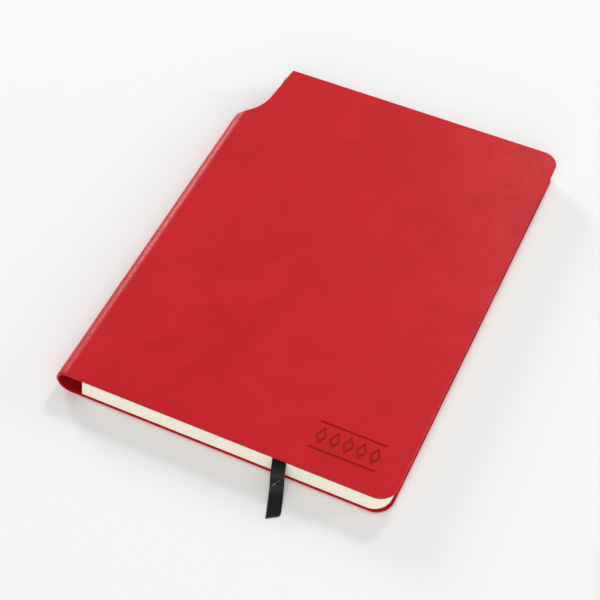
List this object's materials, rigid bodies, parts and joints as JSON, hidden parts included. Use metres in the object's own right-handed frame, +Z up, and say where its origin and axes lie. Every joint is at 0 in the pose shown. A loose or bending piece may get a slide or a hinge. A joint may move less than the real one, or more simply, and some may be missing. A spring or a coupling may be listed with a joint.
{
  "type": "soft-cover notebook",
  "caption": "Soft-cover notebook with a hollow spine loop for a pen, a front cover and first leaves that turn, and a satin ribbon marker.",
  "frame": {"origin": "middle of the underside of the closed book", "axes": "+X from the spine to the fore-edge, +Y from the tail to the head, +Z up through the front cover"},
  "size_m": [0.155, 0.23, 0.013],
  "materials": {
    "cover_skin": "red synthetic leather, fine grain, satin",
    "cover_lining": "red synthetic leather, smooth, matte",
    "board": "thin grey board",
    "endpaper": "heavy cream paper, uncoated",
    "page_paper": "cream writing paper, uncoated",
    "thread": "waxed linen thread",
    "glue": "dried binding glue",
    "gauze": "cotton gauze",
    "spine_paper": "dark red spine paper, matte",
    "satin": "black satin weave"
  },
  "bodies": {
    "book": {"spine_loop_skin": "cover_skin", "spine_loop_lining": "cover_lining", "back_cover_skin": "cover_skin", "back_cover_board": "board", "back_cover_lining": "cover_lining", "back_pastedown": "endpaper", "back_flyleaf": "endpaper", "section_12": "page_paper", "section_11": "page_paper", "section_10": "page_paper", "section_09": "page_paper", "section_08": "page_paper", "section_07": "page_paper", "section_06": "page_paper", "section_05": "page_paper", "section_04": "page_paper", "section_03": "page_paper", "section_02": "page_paper", "leaf_08": "page_paper", "leaf_07": "page_paper", "leaf_06": "page_paper", "leaf_05": "page_paper", "binding_threads": "thread", "spine_glue": "glue", "spine_mull": "gauze", "spine_liner": "spine_paper", "ribbon": "satin"},
    "front_cover": {"front_cover_skin": "cover_skin", "front_cover_board": "board", "front_cover_lining": "cover_lining", "front_pastedown": "endpaper"},
    "flyleaf": {"front_flyleaf": "endpaper"},
    "turning_leaf_1": {"leaf_01": "page_paper"},
    "turning_leaf_2": {"leaf_02": "page_paper"},
    "turning_leaf_3": {"leaf_03": "page_paper"},
    "turning_leaf_4": {"leaf_04": "page_paper"}
  },
  "joints": [
    {"name": "front_cover_hinge", "type": "hinge", "parent": "book", "child": "front_cover", "pos_m": [-0.065, 0, 0.0135], "axis": [0, -1, 0], "range_deg": [0, 178]},
    {"name": "flyleaf_turn", "type": "hinge", "parent": "book", "child": "flyleaf", "pos_m": [-0.065, 0, 0.0135], "axis": [0, -1, 0], "range_deg": [0, 178]},
    {"name": "turning_leaf_1_turn", "type": "hinge", "parent": "book", "child": "turning_leaf_1", "pos_m": [-0.065, 0, 0.0135], "axis": [0, -1, 0], "range_deg": [0, 178]},
    {"name": "turning_leaf_2_turn", "type": "hinge", "parent": "book", "child": "turning_leaf_2", "pos_m": [-0.065, 0, 0.0135], "axis": [0, -1, 0], "range_deg": [0, 178]},
    {"name": "turning_leaf_3_turn", "type": "hinge", "parent": "book", "child": "turning_leaf_3", "pos_m": [-0.065, 0, 0.0135], "axis": [0, -1, 0], "range_deg": [0, 178]},
    {"name": "turning_leaf_4_turn", "type": "hinge", "parent": "book", "child": "turning_leaf_4", "pos_m": [-0.065, 0, 0.0135], "axis": [0, -1, 0], "range_deg": [0, 178]}
  ],
  "couplings": [
    {"joint": "flyleaf_turn", "follows": "front_cover_hinge", "ratio": 0.992},
    {"joint": "turning_leaf_1_turn", "follows": "front_cover_hinge", "ratio": 0.989},
    {"joint": "turning_leaf_2_turn", "follows": "front_cover_hinge", "ratio": 0.986},
    {"joint": "turning_leaf_3_turn", "follows": "front_cover_hinge", "ratio": 0.983},
    {"joint": "turning_leaf_4_turn", "follows": "front_cover_hinge", "ratio": 0.98}
  ]
}
